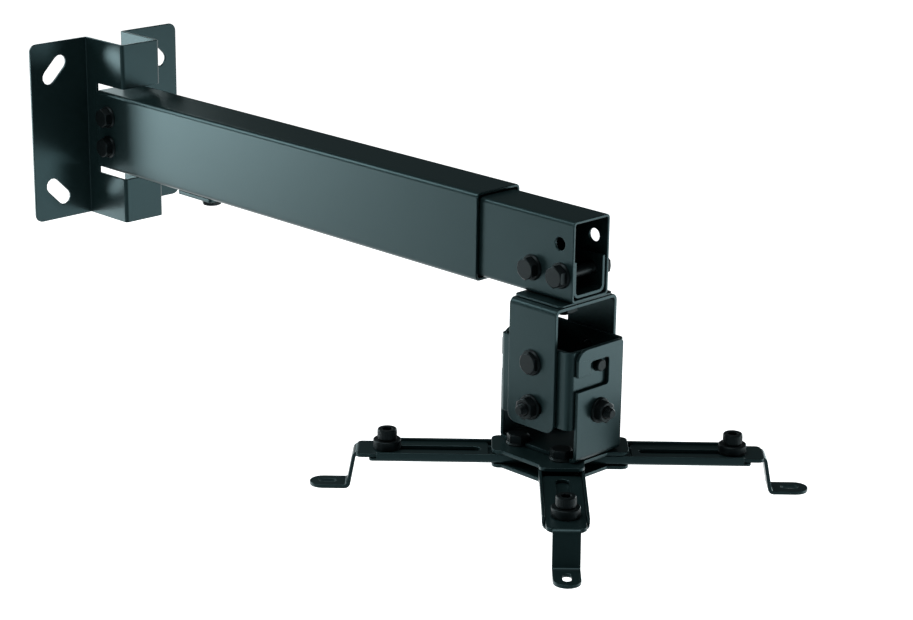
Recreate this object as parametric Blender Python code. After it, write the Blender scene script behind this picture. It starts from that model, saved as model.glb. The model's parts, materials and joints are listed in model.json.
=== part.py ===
"""Projector wall mount: a wall plate, a telescopic arm and a swivel, tilt and roll head that
carries a four-armed spider with sliding legs. Metres, +Z up. The origin is on the wall plane
at the arm's centreline, +X runs out from the wall along the arm."""

import math

import bmesh
import bpy
from mathutils import Matrix, Vector

MM = 0.001
GAP = 0.3 * MM                  # air left between faces that touch
HOLE_EASE = 0.3 * MM            # radial play of a hole round its bolt
BITE = 0.2 * MM                 # how far two bodies of one piece run into each other

# Wall plate: one sheet folded to a hat section
PLATE_T = 2.0 * MM
PLATE_W = 138 * MM              # along Y
PLATE_H = 138 * MM              # along Z
PLATE_CORNER = 6 * MM
HAT_DEPTH = 47 * MM             # wall to the front of the hat
HAT_BEND = 2.5 * MM             # outer radius of the folds
WALL_SLOT_AT = 47.5 * MM        # slot centres from the plate's centre, along Y and Z
WALL_SLOT_W = 11.5 * MM
WALL_SLOT_TRAVEL = 14.5 * MM
SLIT_FROM = 14 * MM             # where the hat's slits for the tube walls start
SLIT_TO = 35 * MM               # outer edge of each slit above and below the centreline

# Arm
TUBE_W = 40 * MM
TUBE_H = 60 * MM
TUBE_T = 2.0 * MM
TUBE_CORNER = 3.5 * MM
TUBE_START = 16 * MM
TUBE_SHORT = 60.2 * MM          # it ends this far before the head's axis
SLEEVE_PLAY = 1.0 * MM          # air round the inner tube inside the outer one
INNER_T = 2.0 * MM
INNER_CORNER = 3.0 * MM
INNER_START = 101 * MM
INNER_BEYOND = 22.8 * MM        # it ends this far beyond the head's axis
LOCK_HOLE_BEYOND = 11.2 * MM
LOCK_HOLE_Z = 10.6 * MM
LOCK_HOLE_D = 8.8 * MM
ARM_IN = 26 * MM                # how far the arm shortens from the shown length
ARM_OUT = 160 * MM              # how far it lengthens

# M8 and M10 hardware
M8 = 8 * MM
M8_AF = 13 * MM
M8_HEAD = 5.3 * MM
M8_NUT = 6.5 * MM
M8_FLANGE_D = 17 * MM
M8_FLANGE_T = 1.6 * MM
M10 = 10 * MM
M10_AF = 16 * MM
M10_HEAD = 6.4 * MM
M10_NUT = 8.0 * MM
THREAD_SHOWS = 4.5 * MM         # how far a clamp bolt stands out of its nut
BOLT_SHOWS = 3 * MM             # and a cross bolt
END_SHOWS = 2 * MM              # and every other bolt, or out of its plate
PIVOT_HEAD = 2.4 * MM           # low head of the tilt pivots, above its flange

# Wall-end and head-end cross bolts
WALL_BOLT_X = 30.5 * MM
WALL_BOLT_Z = 11.5 * MM
END_BOLT_BEFORE = 12.7 * MM     # from the head's axis to the rear one
END_BOLT_BEYOND = 12.3 * MM     # and to the front one
END_BOLT_Z = -10 * MM

# Clamp of the telescopic arm, under the outer tube
CLAMP_X = 129 * MM
CLAMP_LENGTH = 38 * MM
CLAMP_W = 34 * MM
CLAMP_T = 3 * MM
CLAMP_CORNER = 2 * MM

# Bracket in the end of the inner tube
INSERT_T = 2.5 * MM
INSERT_BEFORE = 22.2 * MM       # it reaches this far before the head's axis
INSERT_BEYOND = 21.8 * MM       # and beyond it
INSERT_TOP = 0.0

# Swivel
HEAD_X = 487.2 * MM
SWIVEL_PLATE_T = 1.5 * MM       # plate that the yoke turns on, under the inner tube
SWIVEL_PLATE_W = 50 * MM
SWIVEL_PLATE_CORNER = 3 * MM

# Yoke
YOKE_T = 2.5 * MM
YOKE_LENGTH = 40.8 * MM         # along X
YOKE_W = 58 * MM                # along Y, outside
YOKE_BOTTOM = -113 * MM
YOKE_BEND = 4.5 * MM
YOKE_CORNER = 7 * MM

# Tilt and roll pivots and their clamp bolts
PIVOT_Z = -68.5 * MM
CLAMP_RADIUS = 30.3 * MM
TILT_RANGE = 11                 # degrees to each side
ROLL_RANGE = 6

# Tilt block: a closed sheet frame
BLOCK_T = 2.5 * MM
BLOCK_LENGTH = 62.4 * MM        # along X, outside
BLOCK_TOP = -56 * MM
BLOCK_BOTTOM = -108.5 * MM
BLOCK_CORNER = 4.5 * MM

# Cradle: one sheet folded to a floor and two ears
EAR_T = 2.5 * MM
EAR_BEND = 4 * MM
EAR_W = 42.6 * MM
EAR_TOP = -55 * MM
EAR_CORNER = 9 * MM             # corner on the hook's open side
EAR_CORNER_SMALL = 3.5 * MM
HOOK_DROP = 9.7 * MM            # height of the hook slot's mouth and of its upper part
HOOK_FAR = 7.7 * MM             # inner wall of the hook slot
HOOK_NEAR = -9.5 * MM           # where its tooth ends
HOOK_CORNER = 2 * MM
TOOTH_CORNER = 1 * MM
PIN_D = 8 * MM
PIN_SHOWS = 1 * MM              # how far the hook pins stand out of the ears

# Hub: two plates that hold the arms between them
HUB_TOP = -131.5 * MM
HUB_T = 2.5 * MM
HUB_SIDE_X = 32 * MM
HUB_SIDE_Y = 37.5 * MM
TAB_REACH = 44.8 * MM
HUB_BOTTOM_T = 2.5 * MM
HUB_BOLT_R = 27.5 * MM
HUB_BOLT_FLANGE_D = 15.6 * MM
HUB_BOLT_ROOM = 1 * MM          # air round the hub bolts' flanges in the cradle's floor

# Spider arms: shallow channels open at the top, legs slide inside
ARM_W = 29.6 * MM
ARM_H = 6.4 * MM
ARM_T = 2.0 * MM
FIRST_ARM = 45                  # degrees from +X to the first arm; the others follow by 90
ARM_ROOT = 15.2 * MM
ARM_BEND = 2.5 * MM
ARM_CORNER = 5 * MM
LEG_T = 2.5 * MM
LEG_PLAY = 0.2 * MM             # air on each side of a leg in its arm
LEG_ROOT_CORNER = 3 * MM
LEG_NECK_W = 17.5 * MM
SHOULDER_STEP = 0.1 * MM        # straight bits left beside the leg's round corners
FOOT_STEP = 0.01 * MM
LEG_FOOT_Z = -159.5 * MM
LEG_BEND = 4 * MM
LEG_SCREW_R = 113.4 * MM        # screws of the legs, from the hub's centre
LEG_IN = 4 * MM                 # how far each leg slides in
LEG_CLEAR = 19.5 * MM           # legs' inner ends from the hub bolts
FOOT_SLOT_W = 5.5 * MM
FOOT_SLOT_TRAVEL = 6 * MM
FOOT_SLOT_SHIFT = 1 * MM        # the foot's slot lies this far out of its middle
COLLAR_D = 18.4 * MM
COLLAR_H = 6 * MM
CAP_D = 13 * MM
CAP_H = 6.8 * MM
CAP_SOCKET = 6 * MM
CAP_SOCKET_DEPTH = 4 * MM

# Lengths along an arm, outwards from the leg's screw
FLANGE_BEYOND = 6.6 * MM        # the arm's flanges end
TIP_BEYOND = 11.6 * MM          # the arm ends
PLATE_BEYOND = 20.1 * MM        # the leg's wide part ends
BEND_BEYOND = 22.4 * MM         # the leg's upper bend
FOOT_BEYOND = 26.8 * MM         # its lower bend
REACH_BEYOND = 51.1 * MM        # the foot ends
SLOT_MARGIN = 9.4 * MM          # of the leg behind its long slot

# Sizes that follow from those above
TUBE_END = HEAD_X - TUBE_SHORT
INNER_END = HEAD_X + INNER_BEYOND
LOCK_HOLE_X = HEAD_X + LOCK_HOLE_BEYOND
END_BOLT_REAR = HEAD_X - END_BOLT_BEFORE
END_BOLT_FRONT = HEAD_X + END_BOLT_BEYOND
INSERT_START = HEAD_X - INSERT_BEFORE
INSERT_END = HEAD_X + INSERT_BEYOND
HAT_W = TUBE_W - 2 * TUBE_T - 2 * GAP
SLIT_NEAR = TUBE_H / 2 - TUBE_CORNER
INNER_W = TUBE_W - 2 * TUBE_T - 2 * SLEEVE_PLAY
INNER_H = TUBE_H - 2 * TUBE_T - 2 * SLEEVE_PLAY
PLATE_UNDER = -INNER_H / 2 - GAP - SWIVEL_PLATE_T
YOKE_TOP = PLATE_UNDER - GAP
BLOCK_W = YOKE_W - 2 * YOKE_T - 2 * GAP
CLAMP_Z = PIVOT_Z - CLAMP_RADIUS
EAR_IN = BLOCK_LENGTH / 2 + GAP
EAR_OUT = EAR_IN + EAR_T
FLOOR_LOW = HUB_TOP + GAP
FLOOR_HIGH = FLOOR_LOW + EAR_T
HUB_UNDER = HUB_TOP - HUB_T
ARM_FLANGE_END = LEG_SCREW_R + FLANGE_BEYOND
ARM_TIP = LEG_SCREW_R + TIP_BEYOND
LEG_W = ARM_W - 2 * ARM_T - 2 * LEG_PLAY
LEG_ROOT = HUB_BOLT_R + LEG_CLEAR
LEG_OUT = LEG_SCREW_R - SLOT_MARGIN - LEG_ROOT    # how far each leg slides out
LEG_PLATE_END = LEG_SCREW_R + PLATE_BEYOND
LEG_BEND_AT = LEG_SCREW_R + BEND_BEYOND
LEG_FOOT_AT = LEG_SCREW_R + FOOT_BEYOND
LEG_FOOT_END = LEG_SCREW_R + REACH_BEYOND
ARM_TOP = HUB_UNDER - GAP
ARM_BOTTOM = ARM_TOP - ARM_H
LEG_UNDER = ARM_BOTTOM + ARM_T + GAP
LEG_TOP = LEG_UNDER + LEG_T
COLLAR_Z = LEG_TOP + GAP
CAP_Z = COLLAR_Z + COLLAR_H + GAP

for old in list(bpy.data.objects):
    bpy.data.objects.remove(old, do_unlink=True)

mount = bpy.data.collections.new("projector_mount")
tools = bpy.data.collections.new("cutters")
bpy.context.scene.collection.children.link(mount)
bpy.context.scene.collection.children.link(tools)


def material(name, colour, roughness, metallic):
    """A Principled material with the part's colour, roughness and metallic value."""
    made = bpy.data.materials.new(name)
    made.use_nodes = True
    shader = made.node_tree.nodes["Principled BSDF"]
    shader.inputs["Base Color"].default_value = (*colour, 1.0)
    shader.inputs["Roughness"].default_value = roughness
    shader.inputs["Metallic"].default_value = metallic
    return made


COAT = material("powder_coated_steel", (0.018, 0.023, 0.025), 0.32, 0.0)
ZINC = material("black_zinc_steel", (0.012, 0.013, 0.014), 0.38, 0.6)


# Outlines


def arc(centre, radius, start, end, steps):
    """Points on an arc from one angle to another, in radians."""
    points = []
    for i in range(steps + 1):
        a = start + (end - start) * i / steps
        points.append((centre[0] + radius * math.cos(a), centre[1] + radius * math.sin(a)))
    return points


def rounded_polygon(corners, radii, steps=4):
    """A closed outline whose corners are rounded, each by its own radius."""
    outline = []
    count = len(corners)
    for i, corner in enumerate(corners):
        here = Vector(corner)
        back = (Vector(corners[i - 1]) - here).normalized()
        ahead = (Vector(corners[(i + 1) % count]) - here).normalized()
        radius = radii[i]
        if radius <= 0:
            outline.append(tuple(here))
            continue
        half = back.angle(ahead) / 2
        reach = radius / math.tan(half)
        first = here + back * reach
        last = here + ahead * reach
        centre = here + (back + ahead).normalized() * (radius / math.sin(half))
        start = math.atan2(first.y - centre.y, first.x - centre.x)
        turn = math.atan2(last.y - centre.y, last.x - centre.x) - start
        turn = (turn + math.pi) % (2 * math.pi) - math.pi
        outline += arc(centre, radius, start, start + turn, steps)
    return outline


def rectangle(x0, x1, y0, y1, radius=0.0, steps=4):
    """A rectangle with rounded corners."""
    corners = [(x0, y0), (x1, y0), (x1, y1), (x0, y1)]
    return rounded_polygon(corners, [radius] * 4, steps)


def slot(centre, angle, travel, width, steps=6):
    """A round-ended slot whose arc centres lie travel apart."""
    cx, cy = centre
    ux, uy = math.cos(angle), math.sin(angle)
    right = (cx + ux * travel / 2, cy + uy * travel / 2)
    left = (cx - ux * travel / 2, cy - uy * travel / 2)
    outline = arc(right, width / 2, angle - math.pi / 2, angle + math.pi / 2, steps)
    return outline + arc(left, width / 2, angle + math.pi / 2, angle + 1.5 * math.pi, steps)


def arc_slot(centre, radius, middle, sweep, width, steps=6):
    """A curved slot that follows a circle, sweep radians to each side of its middle."""
    cx, cy = centre
    lo, hi = middle - sweep, middle + sweep
    top = (cx + radius * math.cos(hi), cy + radius * math.sin(hi))
    low = (cx + radius * math.cos(lo), cy + radius * math.sin(lo))
    outline = arc(centre, radius + width / 2, lo, hi, steps)
    outline += arc(top, width / 2, hi, hi + math.pi, steps)[1:-1]
    outline += arc(centre, radius - width / 2, hi, lo, steps)
    return outline + arc(low, width / 2, lo + math.pi, lo + 2 * math.pi, steps)[1:-1]


def strip(path, thickness, bends, steps=4):
    """The outline of a folded sheet: the path is its middle line, bends its outer radii."""
    sides = []
    for side in (1, -1):
        line = []
        for i, point in enumerate(path):
            here = Vector(point)
            if i == 0 or i == len(path) - 1:
                along = Vector(path[1]) - here if i == 0 else here - Vector(path[-2])
                along.normalize()
                line.append((here + Vector((-along.y, along.x)) * side * thickness / 2, 0.0))
                continue
            before = (here - Vector(path[i - 1])).normalized()
            after = (Vector(path[i + 1]) - here).normalized()
            turn = before.cross(after)
            normal = Vector((-before.y, before.x)) + Vector((-after.y, after.x))
            normal = normal.normalized()
            shift = thickness / 2 / normal.dot(Vector((-before.y, before.x)))
            inside = (turn > 0) == (side > 0)
            radius = bends[i - 1] - thickness if inside else bends[i - 1]
            line.append((here + normal * side * shift, max(radius, 0.0)))
        sides.append(line)
    loop = sides[0] + sides[1][::-1]
    return rounded_polygon([tuple(p) for p, _ in loop], [r for _, r in loop], steps)


# Solids

PLANES = {
    "XY": Matrix(((1, 0, 0), (0, 1, 0), (0, 0, 1))),
    "XZ": Matrix(((1, 0, 0), (0, 0, 1), (0, 1, 0))),
    "YZ": Matrix(((0, 0, 1), (1, 0, 0), (0, 1, 0))),
}


def link(obj, group):
    """Moves an object into one collection."""
    for owner in list(obj.users_collection):
        owner.objects.unlink(obj)
    group.objects.link(obj)


def prism(name, loops, plane, low, high, group=mount):
    """A flat outline, with any holes, drawn in a plane and made solid from low to high."""
    data = bpy.data.curves.new(name, "CURVE")
    data.dimensions = "2D"
    data.fill_mode = "BOTH"
    data.extrude = (high - low) / 2
    for loop in loops:
        line = data.splines.new("POLY")
        line.points.add(len(loop) - 1)
        for point, (x, y) in zip(line.points, loop):
            point.co = (x, y, 0, 1)
        line.use_cyclic_u = True
    curve = bpy.data.objects.new(name + "_outline", data)
    link(curve, tools)
    bpy.context.view_layer.update()
    seen = curve.evaluated_get(bpy.context.evaluated_depsgraph_get())
    mesh = bpy.data.meshes.new_from_object(seen)
    bpy.data.objects.remove(curve)
    shift = Matrix.Translation((0, 0, (high + low) / 2))
    mesh.transform(PLANES[plane].to_4x4() @ shift)
    work = bmesh.new()
    work.from_mesh(mesh)
    bmesh.ops.remove_doubles(work, verts=work.verts, dist=1e-6)
    bmesh.ops.recalc_face_normals(work, faces=work.faces)
    work.to_mesh(mesh)
    work.free()
    obj = bpy.data.objects.new(name, mesh)
    link(obj, group)
    return obj


def cylinder(name, centre, axis, radius, low, high, sides=16, group=tools, turn=0.0):
    """A cylinder along an axis through a centre, from low to high along that axis."""
    mesh = bpy.data.meshes.new(name)
    work = bmesh.new()
    bmesh.ops.create_cone(
        work, cap_ends=True, segments=sides, radius1=radius, radius2=radius, depth=high - low
    )
    spin = Matrix.Rotation(turn, 4, "Z")
    shift = Matrix.Translation((0, 0, (high + low) / 2))
    aim = Vector(axis).to_track_quat("Z", "Y").to_matrix().to_4x4()
    work.transform(Matrix.Translation(centre) @ aim @ shift @ spin)
    work.to_mesh(mesh)
    work.free()
    obj = bpy.data.objects.new(name, mesh)
    link(obj, group)
    return obj


def combine(obj, others, operation):
    """Applies a Boolean of each other object to obj and keeps the result as its mesh."""
    for other in others:
        cut = obj.modifiers.new("boolean", "BOOLEAN")
        cut.operation = operation
        cut.object = other
    bpy.context.view_layer.update()
    seen = obj.evaluated_get(bpy.context.evaluated_depsgraph_get())
    mesh = bpy.data.meshes.new_from_object(seen)
    obj.modifiers.clear()
    old = obj.data
    obj.data = mesh
    bpy.data.meshes.remove(old)
    for other in others:
        bpy.data.objects.remove(other)
    return obj


def cut(obj, others):
    return combine(obj, others, "DIFFERENCE")


def join(obj, others):
    return combine(obj, others, "UNION")


def keep(obj, others):
    return combine(obj, others, "INTERSECT")


# Joint axes, as empties that carry the pieces


def axis_empty(name, place, parent=None):
    """An empty on a joint's axis."""
    made = bpy.data.objects.new(name, None)
    made.empty_display_size = TUBE_W / 2
    mount.objects.link(made)
    made.location = Vector(place)
    if parent is not None:
        made.parent = parent
        made.location -= world_place(parent)
    return made


def world_place(obj):
    """Where an unrotated empty lies, summed up its parents."""
    place = Vector(obj.location)
    while obj.parent is not None:
        obj = obj.parent
        place += obj.location
    return place


wall = axis_empty("wall_frame", (0, 0, 0))
slide = axis_empty("arm_slide", (INNER_START, 0, 0), wall)
swivel = axis_empty("swivel_axis", (HEAD_X, 0, YOKE_TOP), slide)
tilt = axis_empty("tilt_axis", (HEAD_X, 0, PIVOT_Z), swivel)
roll = axis_empty("roll_axis", (HEAD_X, 0, PIVOT_Z), tilt)
QUARTERS = (("left", 2), ("right", 0), ("front", 3), ("back", 1))
ARMS = {side: FIRST_ARM + 90 * turn for side, turn in QUARTERS}
leg_slides = {}
for side, angle in ARMS.items():
    a = math.radians(angle)
    at = (HEAD_X + LEG_SCREW_R * math.cos(a), LEG_SCREW_R * math.sin(a), LEG_TOP)
    leg_slides[side] = axis_empty("leg_slide_" + side, at, roll)


def finish(obj, parent, look, smooth=35):
    """Gives a piece its material and shading and hangs it on its empty."""
    origin = world_place(parent)
    obj.data.transform(Matrix.Translation(-origin))
    obj.parent = parent
    obj.data.materials.clear()
    obj.data.materials.append(look)
    obj.data.shade_smooth()
    obj.data.set_sharp_from_angle(angle=math.radians(smooth))
    return obj


# Hardware: each mesh is made once, its head at z below 0 and its shaft up +Z


def hex_radius(across_flats):
    return across_flats / 2 / math.cos(math.pi / 6)


def bolt(name, diameter, length, across_flats, head, flange_d, flange_t, turn=0.0):
    """A hexagon bolt with a washer face under its head."""
    shaft = cylinder(name, (0, 0, 0), (0, 0, 1), diameter / 2, -BITE, length, 16, mount)
    flange = cylinder("flange", (0, 0, 0), (0, 0, 1), flange_d / 2, -flange_t, 0, 20)
    top = cylinder(
        "head", (0, 0, 0), (0, 0, 1), hex_radius(across_flats),
        -flange_t - head, -flange_t + BITE, 6, tools, turn
    )
    return join(shaft, [flange, top])


def nut(name, diameter, across_flats, height, flange_d, flange_t, turn=0.0):
    """A flanged nut that stands on its flange and rises along +Z."""
    flange = cylinder(name, (0, 0, 0), (0, 0, 1), flange_d / 2, 0, flange_t, 20, mount)
    body = cylinder(
        "hex", (0, 0, 0), (0, 0, 1), hex_radius(across_flats),
        flange_t / 2, height, 6, tools, turn
    )
    join(flange, [body])
    bore = cylinder(
        "bore", (0, 0, 0), (0, 0, 1), diameter / 2 + GAP, -height, 2 * height
    )
    return cut(flange, [bore])


def copy_of(source, name, at, axis):
    """Another piece of the same shape, put at a place and aimed along an axis."""
    mesh = source.data.copy()
    mesh.transform(Vector(axis).to_track_quat("Z", "Y").to_matrix().to_4x4())
    mesh.transform(Matrix.Translation(at))
    obj = bpy.data.objects.new(name, mesh)
    mount.objects.link(obj)
    return obj


def drop(*objs):
    for obj in objs:
        bpy.data.objects.remove(obj)


# Wall plate

half_w, half_h = PLATE_W / 2, PLATE_H / 2
web = HAT_W / 2 - PLATE_T / 2
back = PLATE_T / 2
hat_path = [
    (back, -half_w), (back, -web), (HAT_DEPTH - back, -web),
    (HAT_DEPTH - back, web), (back, web), (back, half_w),
]
plate = prism(
    "wall_plate", [strip(hat_path, PLATE_T, [HAT_BEND] * 4)], "XY", -half_h, half_h
)
corners = rectangle(-half_w, half_w, -half_h, half_h, PLATE_CORNER, 5)
keep(plate, [prism("corners", [corners], "YZ", -GAP, HAT_DEPTH + GAP, tools)])
cutters = []
for sy in (-1, 1):
    for sz in (-1, 1):
        angle = math.radians(45 * -sy * sz)
        centre = (sy * WALL_SLOT_AT, sz * WALL_SLOT_AT)
        outline = slot(centre, angle, WALL_SLOT_TRAVEL, WALL_SLOT_W)
        cutters.append(prism("wall_slot", [outline], "YZ", -PLATE_T, 2 * PLATE_T, tools))
for sz in (-1, 1):
    low, high = sorted((sz * SLIT_NEAR, sz * SLIT_TO))
    outline = rectangle(-HAT_W, HAT_W, low, high)
    cutters.append(prism("slit", [outline], "YZ", SLIT_FROM, HAT_DEPTH + PLATE_T, tools))
for sz in (-1, 1):
    at = (WALL_BOLT_X, 0, sz * WALL_BOLT_Z)
    cutters.append(cylinder("hole", at, (0, 1, 0), M8 / 2 + HOLE_EASE, -HAT_W, HAT_W))
finish(cut(plate, cutters), wall, COAT)

# Outer tube, with the clamp's slot along its underside

tube_loops = [
    rectangle(-TUBE_W / 2, TUBE_W / 2, -TUBE_H / 2, TUBE_H / 2, TUBE_CORNER),
    rectangle(
        -TUBE_W / 2 + TUBE_T, TUBE_W / 2 - TUBE_T, -TUBE_H / 2 + TUBE_T,
        TUBE_H / 2 - TUBE_T, TUBE_CORNER - TUBE_T
    ),
]
outer = prism("outer_tube", tube_loops, "YZ", TUBE_START, TUBE_END)
cutters = []
for sz in (-1, 1):
    at = (WALL_BOLT_X, 0, sz * WALL_BOLT_Z)
    cutters.append(cylinder("hole", at, (0, 1, 0), M8 / 2 + HOLE_EASE, -TUBE_W, TUBE_W))
clamp_middle = CLAMP_X + (ARM_OUT - ARM_IN) / 2
clamp_slot = slot((clamp_middle, 0), 0, ARM_IN + ARM_OUT, M8 + 2 * HOLE_EASE)
cutters.append(
    prism("clamp_slot", [clamp_slot], "XY", -TUBE_H / 2 - GAP, -TUBE_H / 2 + 2 * TUBE_T, tools)
)
finish(cut(outer, cutters), wall, COAT)

# Inner tube

inner_loops = [
    rectangle(-INNER_W / 2, INNER_W / 2, -INNER_H / 2, INNER_H / 2, INNER_CORNER),
    rectangle(
        -INNER_W / 2 + INNER_T, INNER_W / 2 - INNER_T, -INNER_H / 2 + INNER_T,
        INNER_H / 2 - INNER_T, INNER_CORNER - INNER_T
    ),
]
inner = prism("inner_tube", inner_loops, "YZ", INNER_START, INNER_END)
cutters = []
for x in (END_BOLT_REAR, END_BOLT_FRONT):
    at = (x, 0, END_BOLT_Z)
    cutters.append(cylinder("hole", at, (0, 1, 0), M8 / 2 + HOLE_EASE, -INNER_W, INNER_W))
at = (LOCK_HOLE_X, 0, LOCK_HOLE_Z)
cutters.append(cylinder("lock", at, (0, 1, 0), LOCK_HOLE_D / 2, -INNER_W, INNER_W))
floor_low, floor_high = -INNER_H / 2 - GAP, -INNER_H / 2 + 2 * INNER_T
for x, size in ((CLAMP_X, M8), (HEAD_X, M10)):
    at = (x, 0, 0)
    radius = size / 2 + HOLE_EASE
    cutters.append(cylinder("hole", at, (0, 0, 1), radius, floor_low, floor_high))
finish(cut(inner, cutters), slide, COAT)

# Wall-end cross bolts

span = TUBE_W + 2 * GAP + M8_NUT + BOLT_SHOWS
master = bolt("master", M8, span, M8_AF, M8_HEAD, M8_FLANGE_D, M8_FLANGE_T)
master_nut = nut("master_nut", M8, M8_AF, M8_NUT, M8_FLANGE_D, M8_FLANGE_T)
for name, z in (("upper", WALL_BOLT_Z), ("lower", -WALL_BOLT_Z)):
    at = (WALL_BOLT_X, -TUBE_W / 2 - GAP, z)
    finish(copy_of(master, "wall_bolt_" + name, at, (0, 1, 0)), wall, ZINC)
    at = (WALL_BOLT_X, TUBE_W / 2 + GAP, z)
    finish(copy_of(master_nut, "wall_nut_" + name, at, (0, 1, 0)), wall, ZINC)
drop(master)

# Head-end cross bolts

span = INNER_W + 2 * GAP + M8_NUT + BOLT_SHOWS
master = bolt("master", M8, span, M8_AF, M8_HEAD, M8_FLANGE_D, M8_FLANGE_T)
for name, x in (("rear", END_BOLT_REAR), ("front", END_BOLT_FRONT)):
    at = (x, -INNER_W / 2 - GAP, END_BOLT_Z)
    finish(copy_of(master, "end_bolt_" + name, at, (0, 1, 0)), slide, ZINC)
    at = (x, INNER_W / 2 + GAP, END_BOLT_Z)
    finish(copy_of(master_nut, "end_nut_" + name, at, (0, 1, 0)), slide, ZINC)
drop(master)

# Length clamp: plate under the outer tube, bolt through the slot, nut in the inner tube

clamp_top = -TUBE_H / 2 - GAP
clamp = rectangle(
    CLAMP_X - CLAMP_LENGTH / 2, CLAMP_X + CLAMP_LENGTH / 2, -CLAMP_W / 2, CLAMP_W / 2,
    CLAMP_CORNER
)
clamp_plate = prism("clamp_plate", [clamp], "XY", clamp_top - CLAMP_T, clamp_top)
hole = cylinder(
    "hole", (CLAMP_X, 0, 0), (0, 0, 1), M8 / 2 + HOLE_EASE, -TUBE_H, 0
)
finish(cut(clamp_plate, [hole]), slide, COAT)
under_head = clamp_top - CLAMP_T - GAP
inner_floor = -INNER_H / 2 + INNER_T
span = inner_floor + GAP + M8_NUT + END_SHOWS - under_head
master = bolt("master", M8, span, M8_AF, M8_HEAD, M8_FLANGE_D, M8_FLANGE_T)
at = (CLAMP_X, 0, under_head)
finish(copy_of(master, "clamp_bolt", at, (0, 0, 1)), slide, ZINC)
at = (CLAMP_X, 0, inner_floor + GAP)
finish(copy_of(master_nut, "clamp_nut", at, (0, 0, 1)), slide, ZINC)
drop(master)

# Bracket in the inner tube's end

side_y = INNER_W / 2 - INNER_T - GAP - INSERT_T / 2
low_z = inner_floor + GAP + INSERT_T / 2
path = [(-side_y, INSERT_TOP), (-side_y, low_z), (side_y, low_z), (side_y, INSERT_TOP)]
insert = prism(
    "end_insert", [strip(path, INSERT_T, [2 * INSERT_T] * 2)], "YZ", INSERT_START, INSERT_END
)
cutters = []
for x in (END_BOLT_REAR, END_BOLT_FRONT):
    at = (x, 0, END_BOLT_Z)
    cutters.append(cylinder("hole", at, (0, 1, 0), M8 / 2 + HOLE_EASE, -INNER_W, INNER_W))
at = (HEAD_X, 0, 0)
cutters.append(cylinder("hole", at, (0, 0, 1), M10 / 2 + HOLE_EASE, -INNER_H, low_z + INSERT_T))
finish(cut(insert, cutters), slide, COAT)

# Swivel bolt and nut, and the plate between the tube and the yoke

seat = low_z + INSERT_T / 2 + GAP
yoke_under = YOKE_TOP - YOKE_T
span = seat - yoke_under + GAP + M10_NUT + END_SHOWS
master = bolt("master", M10, span, M10_AF, M10_HEAD, M10_AF * 1.2, M8_FLANGE_T)
finish(copy_of(master, "swivel_bolt", (HEAD_X, 0, seat), (0, 0, -1)), slide, ZINC)
drop(master)
outline = rectangle(
    HEAD_X - YOKE_LENGTH / 2, HEAD_X + YOKE_LENGTH / 2, -SWIVEL_PLATE_W / 2,
    SWIVEL_PLATE_W / 2, SWIVEL_PLATE_CORNER
)
swivel_plate = prism(
    "swivel_plate", [outline], "XY", PLATE_UNDER, PLATE_UNDER + SWIVEL_PLATE_T
)
bore = cylinder("bore", (HEAD_X, 0, 0), (0, 0, 1), M10 / 2 + HOLE_EASE, -TUBE_H, 0)
finish(cut(swivel_plate, [bore]), swivel, COAT)
master = nut("master", M10, M10_AF, M10_NUT, M10_AF * 1.2, M8_FLANGE_T)
at = (HEAD_X, 0, yoke_under - GAP)
finish(copy_of(master, "swivel_nut", at, (0, 0, -1)), slide, ZINC)
drop(master)

# Yoke: an inverted channel, its sides rounded below, with curved slots for the tilt clamp

side_y = YOKE_W / 2 - YOKE_T / 2
top_z = YOKE_TOP - YOKE_T / 2
path = [(-side_y, YOKE_BOTTOM), (-side_y, top_z), (side_y, top_z), (side_y, YOKE_BOTTOM)]
x0, x1 = HEAD_X - YOKE_LENGTH / 2, HEAD_X + YOKE_LENGTH / 2
yoke = prism("yoke", [strip(path, YOKE_T, [YOKE_BEND] * 2, 5)], "YZ", x0, x1)
side_view = rounded_polygon(
    [(x0, YOKE_BOTTOM), (x1, YOKE_BOTTOM), (x1, 0), (x0, 0)],
    [YOKE_CORNER, YOKE_CORNER, 0, 0], 5
)
keep(yoke, [prism("side_view", [side_view], "XZ", -YOKE_W, YOKE_W, tools)])
sweep = math.radians(TILT_RANGE)
curved = arc_slot(
    (HEAD_X, PIVOT_Z), CLAMP_RADIUS, -math.pi / 2, sweep, M8 + 2 * HOLE_EASE
)
cutters = [
    prism("tilt_slot", [curved], "XZ", -YOKE_W, YOKE_W, tools),
    cylinder("pivot", (HEAD_X, 0, PIVOT_Z), (0, 1, 0), M8 / 2 + HOLE_EASE, -YOKE_W, YOKE_W),
    cylinder("swivel", (HEAD_X, 0, 0), (0, 0, 1), M10 / 2 + HOLE_EASE, 2 * YOKE_TOP, 0),
]
finish(cut(yoke, cutters), swivel, COAT)

# Tilt block

hx, hy = BLOCK_LENGTH / 2, BLOCK_W / 2
block_loops = [
    rectangle(HEAD_X - hx, HEAD_X + hx, -hy, hy, BLOCK_CORNER, 5),
    rectangle(
        HEAD_X - hx + BLOCK_T, HEAD_X + hx - BLOCK_T, -hy + BLOCK_T, hy - BLOCK_T,
        BLOCK_CORNER - BLOCK_T, 5
    ),
]
block = prism("tilt_block", block_loops, "XY", BLOCK_BOTTOM, BLOCK_TOP)
cutters = []
for z in (PIVOT_Z, CLAMP_Z):
    for direction in ((0, 1, 0), (1, 0, 0)):
        at = (HEAD_X, 0, z)
        radius = M8 / 2 + HOLE_EASE
        cutters.append(
            cylinder("hole", at, direction, radius, -BLOCK_LENGTH, BLOCK_LENGTH)
        )
finish(cut(block, cutters), tilt, COAT)

# Tilt pivots: short bolts from outside into the block

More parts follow.
